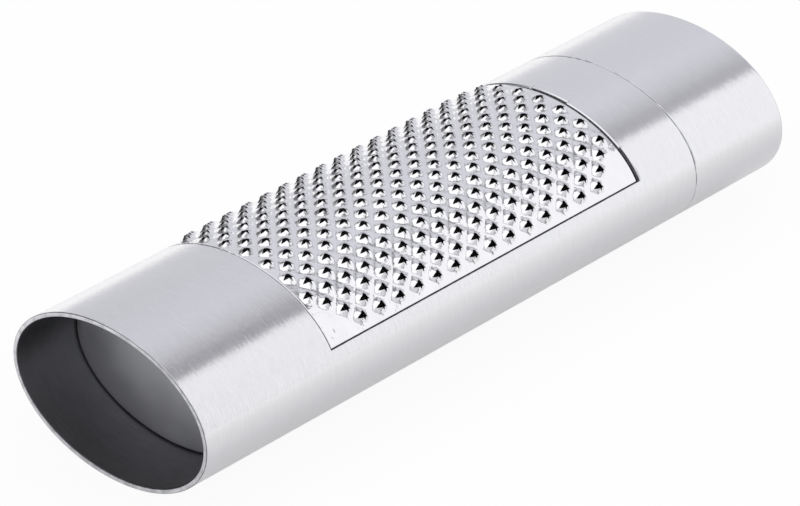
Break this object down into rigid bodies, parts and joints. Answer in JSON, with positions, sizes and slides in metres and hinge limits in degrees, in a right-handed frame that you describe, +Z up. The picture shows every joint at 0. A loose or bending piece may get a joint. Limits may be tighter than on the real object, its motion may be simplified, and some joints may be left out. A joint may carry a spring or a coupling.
{
  "type": "nutmeg grater",
  "caption": "Hand-held nutmeg grater: an elliptical steel tube with a toothed plate flush in its upper side, a recessed front end plate and a pull-off cap with a plug-in collar.",
  "frame": {"origin": "on the surface it lies on, under the middle of the tube's length and width", "axes": "+X along the tube from the open front end to the cap, +Z up through the toothed plate"},
  "size_m": [0.14, 0.0434, 0.0287],
  "materials": {
    "brushed_steel": "brushed",
    "polished_steel": "polished",
    "satin_steel": "satin",
    "collar_plastic": "matte",
    "ring_rubber": "matte"
  },
  "bodies": {
    "grater_body": {"body_tube": "brushed_steel", "grater_plate": "polished_steel", "front_end_plate": "satin_steel"},
    "cap": {"cap_tube": "brushed_steel", "cap_end_plate": "satin_steel", "cap_collar": "collar_plastic", "friction_ring_1": "ring_rubber", "friction_ring_2": "ring_rubber"}
  },
  "joints": [
    {"name": "cap_slide", "type": "slide", "parent": "grater_body", "child": "cap", "axis": [1, 0, 0], "range_m": [0, 0.03]}
  ]
}
